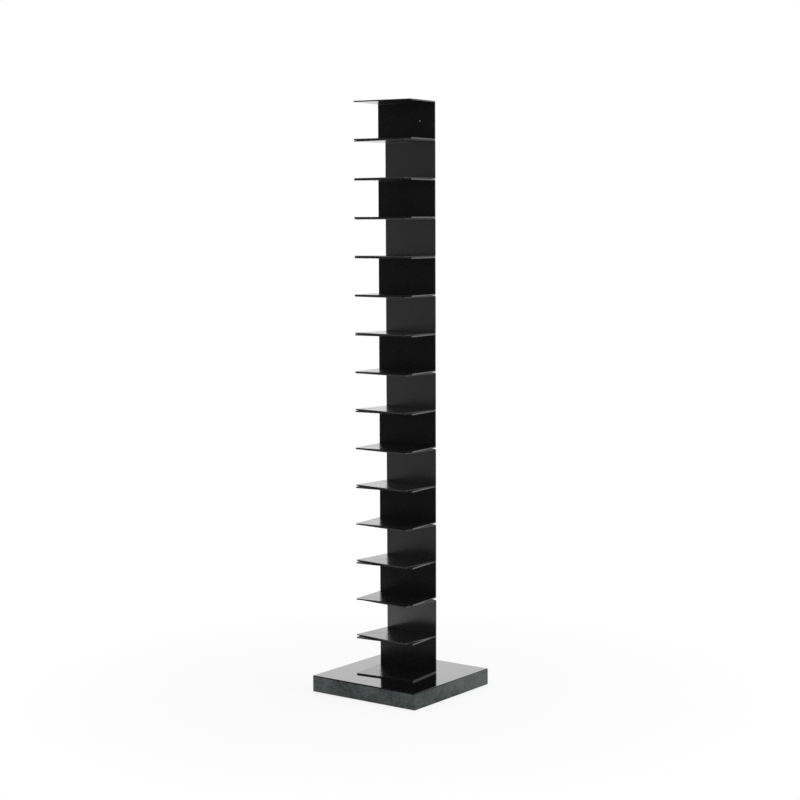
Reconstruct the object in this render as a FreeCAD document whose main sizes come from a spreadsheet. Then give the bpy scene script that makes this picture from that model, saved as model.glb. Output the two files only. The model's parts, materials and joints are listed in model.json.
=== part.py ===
import FreeCAD, Part
import math
import os
import re

import Sketcher

# Spine bookshelf: a column of folded steel sheets, welded one on the other, on a heavy square slab.
# Millimetres and degrees, +Z up, +Y to the back, origin on the floor under the middle of the slab.

MODULE_COUNT = 15
PAIR = 2
NUT_SIDES = 6

SIZES = {
    # Slab that the column stands on
    "slab_side": 345,
    "slab_thickness": 45,
    "slab_arris": 1.5,
    # Pads under the slab
    "pad_diameter": 32,
    "pad_height": 2.5,
    "pad_inset": 40,
    # One folded sheet of the column
    "module_width": 178,
    "module_depth": 128,
    "module_height": 103.5,
    "sheet_thickness": 3.4,
    "bend_radius": 0.6,
    "corner_radius": 2,
    # Stand of the column on the slab, and the turn of its sheets to either side
    "column_forward": 20,
    "turn_angle": 5.5,
    # Studs under the lowest plate, with nuts and washers in recesses under the slab
    "stud_diameter": 6,
    "stud_end": 1.5,
    "stud_lead": 0.8,
    "stud_clearance": 0.5,
    "stud_spacing_x": 120,
    "stud_spacing_y": 70,
    "recess_diameter": 24,
    "recess_depth": 15,
    "washer_diameter": 18,
    "washer_thickness": 1.6,
    "nut_across_flats": 10,
    "nut_height": 5,
    # Tapped hole in the top web for the screw of a strap to the wall, at its tapping size
    "strap_hole_diameter": 2.5,
    "strap_hole_side": 42,
    # How far a cut runs past the face that it opens
    "cut_overrun": 1,
}

doc = FreeCAD.newDocument("spine_bookshelf")
sizes = doc.addObject("Spreadsheet::Sheet", "Sizes")
for row, (alias, value) in enumerate(SIZES.items(), start=1):
    sizes.set("A%d" % row, alias)
    sizes.set("B%d" % row, str(value))
    sizes.setAlias("B%d" % row, alias)
doc.recompute()

subparts = []


def amount(expression):
    """The present value of an expression in the sheet's names."""
    value = sizes.evalExpression(expression)
    return float(getattr(value, "Value", value))


def tie(target, path, expression):
    """Ties a property to an expression in the sheet's names."""
    target.setExpression(path, re.sub(r"\b(%s)\b" % "|".join(SIZES), r"Sizes.\1", expression))


def new_body(name):
    """An empty body, which becomes one node of the part."""
    body = doc.addObject("PartDesign::Body", name)
    body.Label = name
    subparts.append(body)
    return body


def new_sketch(body, name, role, shift=()):
    """A sketch on one of its body's origin planes, moved by expressions."""
    sketch = body.newObject("Sketcher::SketchObject", body.Name + "_" + name)
    plane = next(feature for feature in body.Origin.OriginFeatures if feature.Role == role)
    sketch.AttachmentSupport = (plane, "")
    sketch.MapMode = "FlatFace"
    for axis, expression in shift:
        tie(sketch, "AttachmentOffset.Base." + axis, expression)
    return sketch


def dimension(sketch, kind, *places, to):
    """A dimension of the sketch that follows an expression in the sheet's names."""
    index = sketch.addConstraint(Sketcher.Constraint(kind, *places, amount(to)))
    tie(sketch, "Constraints[%d]" % index, to)


def point(x, y):
    return FreeCAD.Vector(x, y, 0)


def add_lines(sketch, corners):
    """A closed outline of straight lines through the corners, joined end to end."""
    count = len(corners)
    for start in range(count):
        sketch.addGeometry(Part.LineSegment(corners[start], corners[(start + 1) % count]))
    for start in range(count):
        sketch.addConstraint(Sketcher.Constraint("Coincident", start, 2, (start + 1) % count, 1))


def add_circle(sketch, x, y, radius):
    """A circle whose centre is tied by two expressions to the sketch's origin."""
    circle = Part.Circle(point(amount(x), amount(y)), FreeCAD.Vector(0, 0, 1), amount(radius))
    index = sketch.addGeometry(circle)
    dimension(sketch, "Radius", index, to=radius)
    for kind, place in (("DistanceX", x), ("DistanceY", y)):
        if amount(place) < 0:
            dimension(sketch, kind, index, 3, -1, 1, to="-(%s)" % place)
        else:
            dimension(sketch, kind, -1, 1, index, 3, to=place)


def add_square(sketch, reach):
    """A square about the sketch's origin whose sides lie as far out as the expression says."""
    out = amount(reach)
    add_lines(sketch, [point(-out, -out), point(out, -out), point(out, out), point(-out, out)])
    for line in (0, 2):
        sketch.addConstraint(Sketcher.Constraint("Horizontal", line))
    for line in (1, 3):
        sketch.addConstraint(Sketcher.Constraint("Vertical", line))
    for kind in ("DistanceX", "DistanceY"):
        dimension(sketch, kind, 0, 1, -1, 1, to=reach)
        dimension(sketch, kind, -1, 1, 2, 1, to=reach)


def new_feature(body, kind, name, profile=None):
    """A feature at the end of a body's history, cut or grown from a sketch where one is given."""
    feature = body.newObject("PartDesign::" + kind, body.Name + "_" + name)
    if profile:
        feature.Profile = profile
    return feature


def repeat_square(body, across, along):
    """Four copies of the body's shape on the corners of a rectangle, its first copy at the front left."""
    body.AllowCompound = True
    axes = {line.Role: line for line in body.Origin.OriginFeatures}
    for role, length in (("X_Axis", across), ("Y_Axis", along)):
        row = new_feature(body, "LinearPattern", "row_" + role[0].lower())
        row.TransformMode = "Whole shape"
        row.Direction = (axes[role], [""])
        row.Occurrences = PAIR
        tie(row, "Length", length)
        body.Tip = row
        doc.recompute()


# Places that several pieces share
SLAB_TOP = "pad_height + slab_thickness"
BEND_OUTSIDE = "bend_radius + sheet_thickness"
RECESS_CEILING = "pad_height + recess_depth"
STUD_LENGTH = "(slab_thickness - recess_depth + washer_thickness + nut_height + stud_end)"
STUD_HOLE = "stud_diameter + stud_clearance"
STUDS = [("%d * stud_spacing_x / 2" % side, "%d * stud_spacing_y / 2" % end)
         for side in (-1, 1) for end in (-1, 1)]


def stand_on_column(body, height):
    """Puts a body's own origin on the column's axis at a height above the floor."""
    tie(body, "Placement.Base.y", "-column_forward")
    tie(body, "Placement.Base.z", height)


def turn_on_column(body, turn):
    """Turns a body about the column's axis, to the left for 1 and to the right for -1."""
    body.Placement.Rotation = FreeCAD.Rotation(FreeCAD.Vector(0, 0, turn), 1)
    tie(body, "Placement.Rotation.Angle", "turn_angle")


def add_folded_sheet(body):
    """The C of bottom plate, web and top plate: one bent strip seen from the side, as wide as the module."""
    sketch = new_sketch(body, "profile", "YZ_Plane")
    front = -amount("module_depth / 2")
    back = amount("module_depth / 2")
    top = amount("module_height")
    sheet = amount("sheet_thickness")
    inside = amount("bend_radius")
    outside = amount(BEND_OUTSIDE)
    bend = back - outside
    normal = FreeCAD.Vector(0, 0, 1)
    low = point(bend, outside)
    high = point(bend, top - outside)
    quarter = math.pi / 2

    def arc(centre, radius, start):
        return Part.ArcOfCircle(Part.Circle(centre, normal, radius), start, start + quarter)

    outline = [
        Part.LineSegment(point(front, 0), point(bend, 0)),
        arc(low, outside, -quarter),
        Part.LineSegment(point(back, outside), point(back, top - outside)),
        arc(high, outside, 0),
        Part.LineSegment(point(bend, top), point(front, top)),
        Part.LineSegment(point(front, top), point(front, top - sheet)),
        Part.LineSegment(point(front, top - sheet), point(bend, top - sheet)),
        arc(high, inside, 0),
        Part.LineSegment(point(back - sheet, top - outside), point(back - sheet, outside)),
        arc(low, inside, -quarter),
        Part.LineSegment(point(bend, sheet), point(front, sheet)),
        Part.LineSegment(point(front, sheet), point(front, 0)),
    ]
    for piece in outline:
        sketch.addGeometry(piece)
    for first, its_end, second, other_end in (
            (0, 2, 1, 1), (1, 2, 2, 1), (2, 2, 3, 1), (3, 2, 4, 1),
            (6, 2, 7, 2), (7, 1, 8, 1), (8, 2, 9, 2), (9, 1, 10, 1)):
        sketch.addConstraint(Sketcher.Constraint("Tangent", first, its_end, second, other_end))
    for first, second in ((4, 5), (5, 6), (10, 11), (11, 0)):
        sketch.addConstraint(Sketcher.Constraint("Coincident", first, 2, second, 1))
    for first, second in ((1, 9), (3, 7)):
        sketch.addConstraint(Sketcher.Constraint("Coincident", first, 3, second, 3))
    for line in (0, 4, 6, 10):
        sketch.addConstraint(Sketcher.Constraint("Horizontal", line))
    for line in (2, 5, 8, 11):
        sketch.addConstraint(Sketcher.Constraint("Vertical", line))
    sketch.addConstraint(Sketcher.Constraint("Vertical", 5, 1, 0, 1))
    sketch.addConstraint(Sketcher.Constraint("Equal", 7, 9))
    sketch.addConstraint(Sketcher.Constraint("PointOnObject", 0, 1, -1))
    dimension(sketch, "DistanceX", 0, 1, -1, 1, to="module_depth / 2")
    dimension(sketch, "DistanceX", 0, 1, 2, 1, to="module_depth")
    dimension(sketch, "DistanceY", 0, 1, 5, 1, to="module_height")
    dimension(sketch, "DistanceY", 0, 1, 10, 2, to="sheet_thickness")
    dimension(sketch, "Radius", 9, to="bend_radius")

    strip = new_feature(body, "Pad", "strip", sketch)
    strip.SideType = "Symmetric"
    tie(strip, "Length", "module_width")
    doc.recompute()


def round_front_corners(body):
    """Rounds the four upright corner edges at the front of the two plates."""
    strip = body.Tip
    names = []
    for index, edge in enumerate(strip.Shape.Edges, start=1):
        start, end = edge.firstVertex().Point, edge.lastVertex().Point
        upright = abs(end.z - start.z) > math.hypot(end.x - start.x, end.y - start.y)
        if upright and start.y < 0:
            names.append("Edge%d" % index)
    corners = new_feature(body, "Fillet", "corners")
    corners.Base = (strip, names)
    tie(corners, "Radius", "corner_radius")
    doc.recompute()


def add_strap_hole(body):
    """A tapped hole through the web at half its height, for the screw of a strap against tipping."""
    sketch = new_sketch(body, "strap", "XZ_Plane", [("z", "sheet_thickness - module_depth / 2")])
    add_circle(sketch, "strap_hole_side", "module_height / 2", "strap_hole_diameter / 2")
    hole = new_feature(body, "Pocket", "strap_hole", sketch)
    tie(hole, "Length", "sheet_thickness + cut_overrun")
    doc.recompute()


def make_shelf_module(number):
    """One folded sheet at its place in the column, odd ones turned one way and even ones the other way."""
    body = new_body("shelf_module_%02d" % number)
    turn_on_column(body, 1 if number % PAIR else -1)
    stand_on_column(body, "%s + %d * module_height" % (SLAB_TOP, number - 1))
    add_folded_sheet(body)
    round_front_corners(body)
    if number == MODULE_COUNT:
        add_strap_hole(body)


def make_base_studs():
    """Four threaded studs, welded under the lowest plate, that reach down through the slab."""
    body = new_body("base_studs")
    stand_on_column(body, SLAB_TOP + " - " + STUD_LENGTH)
    sketch = new_sketch(body, "round", "XY_Plane")
    add_circle(sketch, *STUDS[0], "stud_diameter / 2")
    stud = new_feature(body, "Pad", "stud", sketch)
    tie(stud, "Length", STUD_LENGTH)
    doc.recompute()
    half_way = amount(STUD_LENGTH + " / 2")
    names = ["Edge%d" % index for index, edge in enumerate(stud.Shape.Edges, start=1)
             if edge.isClosed() and edge.firstVertex().Point.z < half_way]
    lead = new_feature(body, "Chamfer", "lead")
    lead.Base = (stud, names)
    tie(lead, "Size", "stud_lead")
    doc.recompute()
    repeat_square(body, "stud_spacing_x", "stud_spacing_y")


def make_base_washers():
    """Four washers against the ceilings of the slab's recesses."""
    body = new_body("base_washers")
    stand_on_column(body, RECESS_CEILING + " - washer_thickness")
    sketch = new_sketch(body, "ring", "XY_Plane")
    for diameter in ("washer_diameter", STUD_HOLE):
        add_circle(sketch, *STUDS[0], "(%s) / 2" % diameter)
    washer = new_feature(body, "Pad", "washer", sketch)
    tie(washer, "Length", "washer_thickness")
    doc.recompute()
    repeat_square(body, "stud_spacing_x", "stud_spacing_y")


def make_base_nuts():
    """Four hexagon nuts on the studs, tight under the washers."""
    body = new_body("base_nuts")
    stand_on_column(body, RECESS_CEILING + " - washer_thickness - nut_height")
    x, y = STUDS[0]
    sketch = new_sketch(body, "hexagon", "XY_Plane", [("x", x), ("y", y)])
    reach = amount("nut_across_flats / sqrt(3)")
    step = 2 * math.pi / NUT_SIDES
    add_lines(sketch, [point(reach * math.cos(side * step), reach * math.sin(side * step))
                       for side in range(NUT_SIDES)])
    for radius, guide in (("nut_across_flats / sqrt(3)", True), ("stud_diameter / 2", False)):
        ring = sketch.addGeometry(Part.Circle(point(0, 0), FreeCAD.Vector(0, 0, 1), amount(radius)), guide)
        sketch.addConstraint(Sketcher.Constraint("Coincident", ring, 3, -1, 1))
        dimension(sketch, "Radius", ring, to=radius)
    for side in range(NUT_SIDES):
        sketch.addConstraint(Sketcher.Constraint("PointOnObject", side, 1, NUT_SIDES))
    for side in range(1, NUT_SIDES):
        sketch.addConstraint(Sketcher.Constraint("Equal", 0, side))
    sketch.addConstraint(Sketcher.Constraint("PointOnObject", 0, 1, -1))
    nut = new_feature(body, "Pad", "nut", sketch)
    tie(nut, "Length", "nut_height")
    doc.recompute()
    repeat_square(body, "stud_spacing_x", "stud_spacing_y")


def make_base_slab():
    """The square slab with a small bevel on every outer edge and recessed holes for the studs."""
    body = new_body("base_slab")
    tie(body, "Placement.Base.z", "pad_height")
    square = new_sketch(body, "square", "XY_Plane")
    add_square(square, "slab_side / 2")
    slab = new_feature(body, "Pad", "slab", square)
    tie(slab, "Length", "slab_thickness")
    doc.recompute()
    arris = new_feature(body, "Chamfer", "arris")
    arris.Base = (slab, ["Edge%d" % (index + 1) for index in range(len(slab.Shape.Edges))])
    tie(arris, "Size", "slab_arris")
    doc.recompute()
    sketch = new_sketch(body, "stud_places", "XY_Plane", [("y", "-column_forward")])
    for x, y in STUDS:
        add_circle(sketch, x, y, "(%s) / 2" % STUD_HOLE)
    doc.recompute()
    holes = new_feature(body, "Hole", "stud_holes", sketch)
    doc.recompute()
    holes.Reversed = True
    holes.DepthType = "ThroughAll"
    holes.DrillPoint = "Flat"
    tie(holes, "Diameter", STUD_HOLE)
    holes.HoleCutType = "Counterbore"
    holes.HoleCutCustomValues = True
    tie(holes, "HoleCutDiameter", "recess_diameter")
    tie(holes, "HoleCutDepth", "recess_depth")
    doc.recompute()


def make_foot_pads():
    """Four round pads near the slab's corners."""
    body = new_body("foot_pads")
    sketch = new_sketch(body, "disc", "XY_Plane")
    add_circle(sketch, "pad_inset - slab_side / 2", "pad_inset - slab_side / 2", "pad_diameter / 2")
    pad = new_feature(body, "Pad", "pad", sketch)
    tie(pad, "Length", "pad_height")
    doc.recompute()
    repeat_square(body, "slab_side - 2 * pad_inset", "slab_side - 2 * pad_inset")


make_foot_pads()
make_base_slab()
make_base_nuts()
make_base_washers()
make_base_studs()
for module_number in range(1, MODULE_COUNT + 1):
    make_shelf_module(module_number)
doc.recompute()

for item in doc.Objects:
    if "Invalid" in item.State or "Error" in item.State:
        raise RuntimeError("%s did not build: %s" % (item.Name, item.State))
for body in subparts:
    if body.Shape.isNull() or not body.Shape.isValid():
        raise RuntimeError("%s has no valid shape" % body.Label)

os.makedirs("parts", exist_ok=True)
for body in subparts:
    body.Shape.exportStep(os.path.join("parts", body.Label + ".step"))
    print(body.Label, len(body.Shape.Solids), "solids,", round(body.Shape.Volume), "mm3")
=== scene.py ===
import json
import math

import bpy
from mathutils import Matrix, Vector


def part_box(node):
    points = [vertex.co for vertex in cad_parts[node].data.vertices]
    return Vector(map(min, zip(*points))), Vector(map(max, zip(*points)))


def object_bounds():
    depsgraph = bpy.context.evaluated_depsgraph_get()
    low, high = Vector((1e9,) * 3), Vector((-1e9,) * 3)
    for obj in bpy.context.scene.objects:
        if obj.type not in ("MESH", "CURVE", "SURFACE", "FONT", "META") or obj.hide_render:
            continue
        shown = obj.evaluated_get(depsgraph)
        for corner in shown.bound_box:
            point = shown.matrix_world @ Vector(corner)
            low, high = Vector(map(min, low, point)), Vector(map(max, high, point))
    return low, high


# Spine bookshelf: folded black steel sheets, turned to either side by turns, on a slab of black stone.
# Metres, in the frame of the solids: +Z up, +Y to the back, origin on the floor.

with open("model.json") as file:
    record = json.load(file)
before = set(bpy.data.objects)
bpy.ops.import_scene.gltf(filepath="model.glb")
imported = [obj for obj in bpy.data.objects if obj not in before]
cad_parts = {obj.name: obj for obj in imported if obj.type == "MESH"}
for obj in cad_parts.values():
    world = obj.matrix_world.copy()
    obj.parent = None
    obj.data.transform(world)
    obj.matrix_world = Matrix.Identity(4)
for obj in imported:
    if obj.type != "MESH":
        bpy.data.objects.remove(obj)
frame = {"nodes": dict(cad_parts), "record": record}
cad_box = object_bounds()
nodes = frame["nodes"]
sheets = sorted(name for name in nodes if name.startswith("shelf_module"))

MILLIMETRE = 0.001

# Rounding of sharp edges, and the least angle at which an edge counts as sharp
SHEET_ROUNDING = 0.3 * MILLIMETRE
SHEET_SHARP_FROM = math.radians(60)
SLAB_ROUNDING = 0.4 * MILLIMETRE
SLAB_SHARP_FROM = math.radians(35)
PAD_ROUNDING = 0.5 * MILLIMETRE
PAD_SHARP_FROM = math.radians(60)
ROUNDING_STEPS = 2
WELD_DISTANCE = 0.01 * MILLIMETRE
FLAT_WITHIN = math.radians(0.5)
FLAT_WEIGHT = 100

# Cloudy patches, wipe marks and ripples, which all finishes share
WIPE_TURN = (0.3, 0.2, 0.5)
WIPE_STRETCH = (1.0, 14.0, 3.0)
WIPE_SHARE = 0.45
MARKS_SPAN = (0.5, 0.95)
GRAIN_FINENESS = 4.0

# Black paint of the sheets
PAINT_DARK = (0.0042, 0.0052, 0.0044)
PAINT_LIGHT = (0.0078, 0.0094, 0.008)
# Painted highlight: the cut edges are lighter than the flat paint, in a band this wide, standing in for the
# light along the plate edges
EDGE_HIGHLIGHT = (0.013, 0.0145, 0.0133)
EDGE_HIGHLIGHT_BAND = 1.2 * MILLIMETRE
PAINT_WAVE_DEPTH = 0.5 * MILLIMETRE
PAINT_SKIN_DEPTH = 0.006 * MILLIMETRE

# Black stone of the slab
POLISH_DEPTH = 2.5 * MILLIMETRE
POLISH_FADE = 1.5 * MILLIMETRE
POLISHED_DARK = (0.002, 0.0022, 0.0022)
POLISHED_LIGHT = (0.007, 0.0073, 0.0074)
HONED_DARK = (0.031, 0.036, 0.0353)
HONED_LIGHT = (0.124, 0.144, 0.14)
HONED_ROUGHNESS = (0.36, 0.5)
TOOTH_SPAN = (0.3, 0.7)
TOOTH_DEPTH = 0.08 * MILLIMETRE
CLOUD_SHARE = 0.5
MOTTLE_SPAN = (0.5, 1.05)
FLECK_GREY = (0.11, 0.112, 0.115)
FLECK_SPAN = (0.12, 0.24)
FLECK_SHARE = 0.55

# Fixings and pads under the slab
OXIDE_DARK = (0.012, 0.012, 0.013)
OXIDE_LIGHT = (0.03, 0.03, 0.032)
OXIDE_SKIN_DEPTH = 0.004 * MILLIMETRE
RUBBER_DARK = (0.016, 0.016, 0.016)
RUBBER_LIGHT = (0.034, 0.034, 0.033)
RUBBER_SKIN_DEPTH = 0.03 * MILLIMETRE

# Camera, fitted to the corners of the slab and of the sheets
CAMERA_AZIMUTH = math.radians(36.54)
CAMERA_PITCH = math.radians(5.481)
CAMERA_ROLL = math.radians(-0.219)
CAMERA_DISTANCE = 4.98
CAMERA_HEIGHT = 1.2764
FOCAL_LENGTH_MM = 83.008
SENSOR_MM = 36

# Studio: a floor and walls that are white behind the object and unlit above and around the camera
FLOOR_RADIUS = 1.2
FLOOR_SIDES = 96
FLOOR_TONE = 0.9
FLOOR_GLOW_SHARE = 0.84
FLOOR_SHADOW_WITHIN = 0.4
AMBIENT = 0.6
WHITE = (1.0, 1.0, 1.0, 1.0)
UNLIT_TONE = 0.04
UNLIT_HEIGHT = math.radians(45)
UNLIT_WITHIN = math.radians(70)
WALLS_WHITE_BEYOND = math.radians(120)
FLOOR_WHITE_BEYOND = math.radians(95)
FAR_AWAY = 100.0
SOFTBOXES = {
    "right_softbox": {"place": (3.0, 0.6, 1.6), "width": 1.6, "height": 2.4, "watts": 15, "mirrored": False},
    "top_softbox": {"place": (0.3, 0.2, 3.6), "width": 2.0, "height": 2.0, "watts": 40, "mirrored": True},
}

# Sockets of a Mix node that mixes colours
MIX_FIRST, MIX_SECOND, MIX_RESULT = 6, 7, 2


def read_sheet_plan():
    """The turn of the odd sheets, and the middle, half width and half depth of a sheet's own plan.

    The strap thread in the top sheet points along that sheet's depth. The lowest sheet's box lies round its
    turned plan, to a tenth of a millimetre, since its corners are a little rounded.
    """
    thread = next(mount for mount in frame["record"]["mounts"] if mount["name"] == "strap_thread")
    turn = math.atan2(-thread["axis"][0], thread["axis"][1])
    low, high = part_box(sheets[0])
    # across = width cos + depth sin and along = width sin + depth cos, solved for the two halves
    across = (high.x - low.x) / 2
    along = (high.y - low.y) / 2
    half_width = (across * math.cos(turn) - along * math.sin(turn)) / math.cos(2 * turn)
    half_depth = (along * math.cos(turn) - across * math.sin(turn)) / math.cos(2 * turn)
    return turn, (low + high) / 2, half_width, half_depth


sheet_turn, sheet_middle, sheet_half_width, sheet_half_depth = read_sheet_plan()


def new_node(tree, kind, inputs=None, **settings):
    """A shader node with its settings; an input takes a value or another node's socket."""
    node = tree.nodes.new("ShaderNode" + kind)
    for name, value in settings.items():
        setattr(node, name, value)
    for socket, value in (inputs or {}).items():
        if isinstance(value, bpy.types.NodeSocket):
            tree.links.new(value, node.inputs[socket])
        else:
            node.inputs[socket].default_value = value
    return node


def math_node(tree, operation, *values):
    """The result of a Math node on values or sockets, given in the order of its inputs."""
    return new_node(tree, "Math", dict(enumerate(values)), operation=operation).outputs[0]


def vector_node(tree, operation, *vectors):
    """A Vector Math node on vectors or sockets, given in the order of its inputs."""
    return new_node(tree, "VectorMath", dict(enumerate(vectors)), operation=operation)


def ramp(tree, value, span, result=(0.0, 1.0)):
    """Takes a value from one span to another, smoothly and clamped."""
    node = new_node(tree, "MapRange", {"Value": value, "From Min": span[0], "From Max": span[1],
                                       "To Min": result[0], "To Max": result[1]},
                    interpolation_type="SMOOTHSTEP")
    return node.outputs["Result"]


def mix_colour(tree, share, first, second):
    """Mixes two colours, each a plain colour or a socket."""
    first, second = (colour if isinstance(colour, bpy.types.NodeSocket) else (*colour, 1.0)
                     for colour in (first, second))
    node = new_node(tree, "Mix", {"Factor": share, MIX_FIRST: first, MIX_SECOND: second}, data_type="RGBA")
    return node.outputs[MIX_RESULT]


def noise(tree, vector, scale, detail, roughness=0.5):
    """Soft noise, from 0 to 1."""
    node = new_node(tree, "TexNoise", {"Vector": vector, "Scale": scale, "Detail": detail,
                                       "Roughness": roughness})
    return node.outputs["Fac"]


def bump(tree, height, distance):
    """The normal of a surface that a height map raises."""
    return new_node(tree, "Bump", {"Height": height, "Distance": distance}).outputs["Normal"]


def new_group(name, inputs, output):
    """An empty shader node group with float sockets, and a vector socket for an input named Vector."""
    group = bpy.data.node_groups.new(name, "ShaderNodeTree")
    for socket in inputs:
        kind = "NodeSocketVector" if socket == "Vector" else "NodeSocketFloat"
        group.interface.new_socket(socket, in_out="INPUT", socket_type=kind)
    group.interface.new_socket(output, in_out="OUTPUT", socket_type="NodeSocketFloat")
    return group, group.nodes.new("NodeGroupInput").outputs, group.nodes.new("NodeGroupOutput").inputs


def place_group(tree, group, inputs):
    """Places a node group in a material, sets its inputs and gives its one output."""
    return new_node(tree, "Group", inputs, node_tree=group).outputs[0]


def make_handling_marks():
    """Cloudy patches and thin wipe marks, which make a finish duller in places."""
    group, given, made = new_group("handling_marks", ["Vector", "Patch Scale", "Low", "High"], "Roughness")
    patches = noise(group, given["Vector"], given["Patch Scale"], detail=4.0, roughness=0.6)
    stretched = new_node(group, "Mapping", {"Vector": given["Vector"], "Rotation": WIPE_TURN,
                                            "Scale": WIPE_STRETCH}).outputs["Vector"]
    wipes = noise(group, stretched, given["Patch Scale"], detail=3.0, roughness=0.6)
    both = math_node(group, "MULTIPLY_ADD", wipes, WIPE_SHARE, patches)
    share = ramp(group, both, MARKS_SPAN)
    span = math_node(group, "SUBTRACT", given["High"], given["Low"])
    rough = math_node(group, "MULTIPLY_ADD", share, span, given["Low"])
    group.links.new(rough, made["Roughness"])
    return group


def make_fine_ripple():
    """The skin of a sprayed or moulded finish: shallow ripples of one size with a finer grain on them."""
    group, given, made = new_group("fine_ripple", ["Vector", "Ripple Scale", "Grain Share"], "Height")
    ripple = noise(group, given["Vector"], given["Ripple Scale"], detail=1.0)
    finer = math_node(group, "MULTIPLY", given["Ripple Scale"], GRAIN_FINENESS)
    grain = noise(group, given["Vector"], finer, detail=1.0)
    height = math_node(group, "MULTIPLY_ADD", grain, given["Grain Share"], ripple)
    group.links.new(height, made["Height"])
    return group


def make_edge_highlight_mask():
    """A mask along the cut edges of a folded sheet, in the sheet's own plan: both sides and the front, where
    a painted highlight lightens the paint.
    """
    group, given, made = new_group("edge_highlight_mask", ["Vector", "Half Width", "Half Depth", "Band"], "Mask")
    place = new_node(group, "SeparateXYZ", {"Vector": given["Vector"]}).outputs
    aside = math_node(group, "ABSOLUTE", place["X"])
    to_side = math_node(group, "SUBTRACT", given["Half Width"], aside)
    to_front = math_node(group, "ADD", given["Half Depth"], place["Y"])
    nearest = math_node(group, "MINIMUM", to_side, to_front)
    mask = ramp(group, nearest, (0.0, given["Band"]), (1.0, 0.0))
    group.links.new(mask, made["Mask"])
    return group


def make_studio_shade():
    """How light the studio looks in a mirror, by the angle from the middle of its unlit part."""
    group, given, made = new_group("studio_shade", ["Vector", "White Below"], "Tone")
    # Below the horizon it is as light as on the horizon
    horizon = (-FAR_AWAY, -FAR_AWAY, 0.0)
    raised = vector_node(group, "MAXIMUM", given["Vector"], horizon).outputs["Vector"]
    aim = vector_node(group, "NORMALIZE", raised).outputs["Vector"]
    level = math.cos(UNLIT_HEIGHT)
    unlit = (level * math.sin(CAMERA_AZIMUTH), -level * math.cos(CAMERA_AZIMUTH), math.sin(UNLIT_HEIGHT))
    facing = vector_node(group, "DOT_PRODUCT", aim, unlit).outputs["Value"]
    tone = ramp(group, facing, (given["White Below"], math.cos(UNLIT_WITHIN)), (1.0, UNLIT_TONE))
    group.links.new(tone, made["Tone"])
    return group


handling_marks = make_handling_marks()
fine_ripple = make_fine_ripple()
edge_highlight_mask = make_edge_highlight_mask()
studio_shade = make_studio_shade()


def socket_name(word):
    """The shader's name for a socket that is written as one word, such as coat_weight or ior."""
    return word.replace("_", " ").title().replace("Ior", "IOR")


def new_material(name, **constants):
    """A material whose Principled shader has its constant sockets set, with the piece's own coordinates."""
    material = bpy.data.materials.new(name)
    material.use_nodes = True
    tree = material.node_tree
    shader = tree.nodes["Principled BSDF"]
    for word, value in constants.items():
        shader.inputs[socket_name(word)].default_value = value
    coordinates = tree.nodes.new("ShaderNodeTexCoord").outputs["Object"]
    return material, tree, shader, coordinates


def feed(tree, shader, **sources):
    """Links what changes over the surface into the shader."""
    for word, source in sources.items():
        tree.links.new(source, shader.inputs[socket_name(word)])


def make_black_paint(name, turn):
    """Semi-gloss black powder coat on a sheet that is turned about the column's axis, with a painted
    highlight on its cut edges.
    """
    material, tree, shader, place = new_material(name, ior=1.5, coat_weight=0.9, coat_roughness=0.2)
    plan = new_node(tree, "Mapping", {"Vector": place, "Location": (0.0, sheet_middle.y, 0.0),
                                      "Rotation": (0.0, 0.0, turn)}, vector_type="TEXTURE").outputs["Vector"]
    edges = place_group(tree, edge_highlight_mask, {"Vector": plan, "Half Width": sheet_half_width,
                                          "Half Depth": sheet_half_depth, "Band": EDGE_HIGHLIGHT_BAND})
    cloud = noise(tree, plan, scale=16.0, detail=3.0)
    flat_tone = mix_colour(tree, cloud, PAINT_DARK, PAINT_LIGHT)
    # Painted highlight: the cut edges take a lighter tone, standing in for the light along the plate edges
    tone = mix_colour(tree, edges, flat_tone, EDGE_HIGHLIGHT)
    rough = place_group(tree, handling_marks, {"Vector": plan, "Patch Scale": 22.0,
                                               "Low": 0.2, "High": 0.32})
    ripple = place_group(tree, fine_ripple, {"Vector": plan, "Ripple Scale": 620.0, "Grain Share": 0.4})
    waves = bump(tree, noise(tree, plan, scale=7.0, detail=1.0), PAINT_WAVE_DEPTH)
    skin = new_node(tree, "Bump", {"Height": ripple, "Distance": PAINT_SKIN_DEPTH, "Normal": waves})
    feed(tree, shader, base_color=tone, roughness=rough, normal=skin.outputs["Normal"])
    return material


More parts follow.
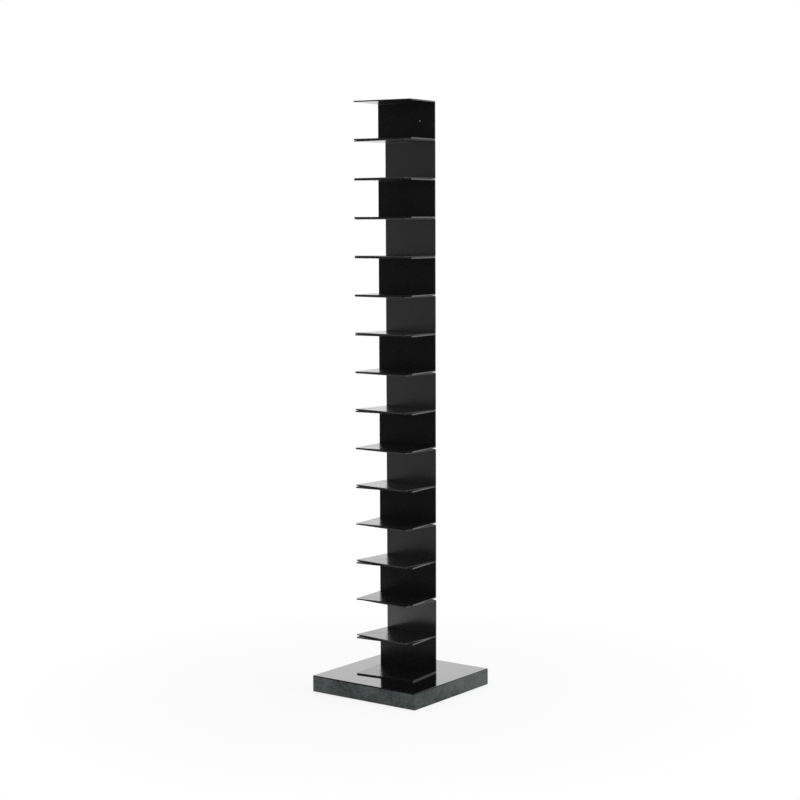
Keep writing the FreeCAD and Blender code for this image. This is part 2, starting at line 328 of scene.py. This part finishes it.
def make_black_stone():
    """Black stone: polished on top and round its top edge, honed sides with a fine grey mottle."""
    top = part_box("base_slab")[1].z
    material, tree, shader, place = new_material("black_stone_finish", ior=1.5, coat_roughness=0.07)
    height = new_node(tree, "SeparateXYZ", {"Vector": place}).outputs["Z"]
    polished = ramp(tree, height, (top - POLISH_DEPTH - POLISH_FADE, top - POLISH_DEPTH))
    mottle = noise(tree, place, scale=110.0, detail=5.0, roughness=0.72)
    cloud = noise(tree, place, scale=18.0, detail=3.0)
    grey = ramp(tree, math_node(tree, "MULTIPLY_ADD", cloud, CLOUD_SHARE, mottle), MOTTLE_SPAN)
    honed = mix_colour(tree, grey, HONED_DARK, HONED_LIGHT)
    crystals = new_node(tree, "TexVoronoi", {"Vector": place, "Scale": 420.0, "Randomness": 1.0})
    fleck = ramp(tree, crystals.outputs["Distance"], FLECK_SPAN, (FLECK_SHARE, 0.0))
    flecked = mix_colour(tree, fleck, honed, FLECK_GREY)
    deep = mix_colour(tree, grey, POLISHED_DARK, POLISHED_LIGHT)
    tone = mix_colour(tree, polished, flecked, deep)
    smooth = place_group(tree, handling_marks, {"Vector": place, "Patch Scale": 14.0,
                                                "Low": 0.07, "High": 0.13})
    dull = ramp(tree, mottle, TOOTH_SPAN, HONED_ROUGHNESS)
    rough = new_node(tree, "Mix", {"Factor": polished, "A": dull, "B": smooth}).outputs["Result"]
    tooth = math_node(tree, "MULTIPLY", mottle, math_node(tree, "SUBTRACT", 1.0, polished))
    feed(tree, shader, base_color=tone, roughness=rough, coat_weight=polished,
         normal=bump(tree, tooth, TOOTH_DEPTH))
    return material


def make_black_oxide():
    """Black oxide on turned and pressed steel."""
    material, tree, shader, place = new_material("black_oxide", metallic=0.6, ior=1.5)
    tone = mix_colour(tree, noise(tree, place, scale=900.0, detail=3.0), OXIDE_DARK, OXIDE_LIGHT)
    rough = place_group(tree, handling_marks, {"Vector": place, "Patch Scale": 300.0,
                                               "Low": 0.28, "High": 0.45})
    ripple = place_group(tree, fine_ripple, {"Vector": place, "Ripple Scale": 2500.0, "Grain Share": 0.5})
    feed(tree, shader, base_color=tone, roughness=rough, normal=bump(tree, ripple, OXIDE_SKIN_DEPTH))
    return material


def make_rubber():
    """Matt black moulded rubber."""
    material, tree, shader, place = new_material("matt_rubber", ior=1.5)
    tone = mix_colour(tree, noise(tree, place, scale=120.0, detail=4.0), RUBBER_DARK, RUBBER_LIGHT)
    rough = place_group(tree, handling_marks, {"Vector": place, "Patch Scale": 90.0,
                                               "Low": 0.7, "High": 0.9})
    ripple = place_group(tree, fine_ripple, {"Vector": place, "Ripple Scale": 1400.0, "Grain Share": 0.6})
    feed(tree, shader, base_color=tone, roughness=rough, normal=bump(tree, ripple, RUBBER_SKIN_DEPTH))
    return material


def round_edges(name, rounding, sharp_from):
    """Rounds a node's sharp edges a little, as paint, polish or a mould leaves them."""
    modifiers = nodes[name].modifiers
    weld = modifiers.new("join_faces", "WELD")
    weld.merge_threshold = WELD_DISTANCE
    flats = modifiers.new("whole_flats", "DECIMATE")
    flats.decimate_type = "DISSOLVE"
    flats.angle_limit = FLAT_WITHIN
    edges = modifiers.new("rounded_edges", "BEVEL")
    edges.width = rounding
    edges.segments = ROUNDING_STEPS
    edges.limit_method = "ANGLE"
    edges.angle_limit = sharp_from
    edges.use_clamp_overlap = False
    edges.loop_slide = False
    normals = modifiers.new("even_flats", "WEIGHTED_NORMAL")
    normals.weight = FLAT_WEIGHT


def dress(name, material):
    """Gives a node its finish."""
    nodes[name].material_slots[0].material = material


def finish_sheets():
    """The column: sheets turned to the left and to the right by turns, each in its own plan of the paint."""
    paints = [make_black_paint("black_paint_left", sheet_turn),
              make_black_paint("black_paint_right", -sheet_turn)]
    for index, name in enumerate(sheets):
        dress(name, paints[index % len(paints)])
        round_edges(name, SHEET_ROUNDING, SHEET_SHARP_FROM)


def finish_base():
    """The slab, the fixings in its recesses and the pads under it."""
    dress("base_slab", make_black_stone())
    round_edges("base_slab", SLAB_ROUNDING, SLAB_SHARP_FROM)
    oxide = make_black_oxide()
    for name in ("base_studs", "base_washers", "base_nuts"):
        dress(name, oxide)
    dress("foot_pads", make_rubber())
    round_edges("foot_pads", PAD_ROUNDING, PAD_SHARP_FROM)


def seen_ray(tree):
    """1 for the rays that show the background: to the camera, in a mirror and through glass."""
    path = new_node(tree, "LightPath").outputs
    mirrored = math_node(tree, "MAXIMUM", path["Is Camera Ray"], path["Is Glossy Ray"])
    return math_node(tree, "MAXIMUM", mirrored, path["Is Transmission Ray"])


def studio_glow(tree, kind, vector, white_beyond):
    """The studio's own light, an Emission or a Background: white to the camera, shaded in a mirror."""
    shade = place_group(tree, studio_shade, {"Vector": vector, "White Below": math.cos(white_beyond)})
    camera = new_node(tree, "LightPath").outputs["Is Camera Ray"]
    tone = math_node(tree, "MAXIMUM", shade, camera)
    return new_node(tree, kind, {"Color": tone, "Strength": 1.0}).outputs[0]


def make_floor():
    """A round pale floor that glows to the camera and in a mirror, and still takes the soft shadow."""
    bpy.ops.object.select_all(action="DESELECT")
    bpy.ops.mesh.primitive_circle_add(vertices=FLOOR_SIDES, radius=FLOOR_RADIUS, fill_type="NGON")
    floor = bpy.context.object
    floor.name = "studio_floor"
    material = bpy.data.materials.new("pale_floor")
    material.use_nodes = True
    tree = material.node_tree
    tree.nodes.clear()
    place = tree.nodes.new("ShaderNodeTexCoord").outputs["Object"]
    outward = vector_node(tree, "LENGTH", place).outputs["Value"]
    glowing = ramp(tree, outward, (FLOOR_SHADOW_WITHIN, FLOOR_RADIUS), (FLOOR_GLOW_SHARE, 1.0))
    share = math_node(tree, "MULTIPLY", seen_ray(tree), glowing)
    paint = new_node(tree, "BsdfDiffuse", {"Color": (FLOOR_TONE, FLOOR_TONE, FLOOR_TONE, 1.0)})
    glow = studio_glow(tree, "Emission", place, FLOOR_WHITE_BEYOND)
    both = new_node(tree, "MixShader", {0: share, 1: paint.outputs[0], 2: glow})
    new_node(tree, "OutputMaterial", {"Surface": both.outputs[0]})
    floor.data.materials.append(material)


def make_studio_walls():
    """A soft white light from all around, and in a mirror a white back wall and an unlit front."""
    world = bpy.data.worlds.new("white_studio")
    bpy.context.scene.world = world
    world.use_nodes = True
    tree = world.node_tree
    tree.nodes.clear()
    direction = tree.nodes.new("ShaderNodeTexCoord").outputs["Generated"]
    seen = studio_glow(tree, "Background", direction, WALLS_WHITE_BEYOND)
    soft = new_node(tree, "Background", {"Color": WHITE, "Strength": AMBIENT})
    both = new_node(tree, "MixShader", {0: seen_ray(tree), 1: soft.outputs[0], 2: seen})
    new_node(tree, "OutputWorld", {"Surface": both.outputs[0]})


def add_softbox(name, aim, place, width, height, watts, mirrored):
    """A rectangular soft light that faces a point, and shows in the gloss or not."""
    bpy.ops.object.light_add(type="AREA", location=place)
    lamp = bpy.context.object
    lamp.name = name
    lamp.data.shape = "RECTANGLE"
    lamp.data.size = width
    lamp.data.size_y = height
    lamp.data.energy = watts
    lamp.visible_glossy = mirrored
    lamp.rotation_euler = (Vector(aim) - Vector(place)).to_track_quat("-Z", "Y").to_euler()


def add_camera():
    """The camera at the photograph's place and angle."""
    place = (CAMERA_DISTANCE * math.sin(CAMERA_AZIMUTH),
             -CAMERA_DISTANCE * math.cos(CAMERA_AZIMUTH),
             CAMERA_HEIGHT)
    bpy.ops.object.camera_add(location=place)
    camera = bpy.context.object
    camera.rotation_euler = (math.pi / 2 - CAMERA_PITCH, 0.0, CAMERA_AZIMUTH)
    camera.rotation_euler.rotate_axis("Z", CAMERA_ROLL)
    camera.data.sensor_width = SENSOR_MM
    camera.data.lens = FOCAL_LENGTH_MM
    bpy.context.scene.camera = camera


finish_sheets()
finish_base()
make_floor()
make_studio_walls()
middle = (0.0, 0.0, cad_box[1].z / 2)
for name, softbox in SOFTBOXES.items():
    add_softbox(name, middle, **softbox)
add_camera()
bpy.context.scene.view_settings.view_transform = "Standard"
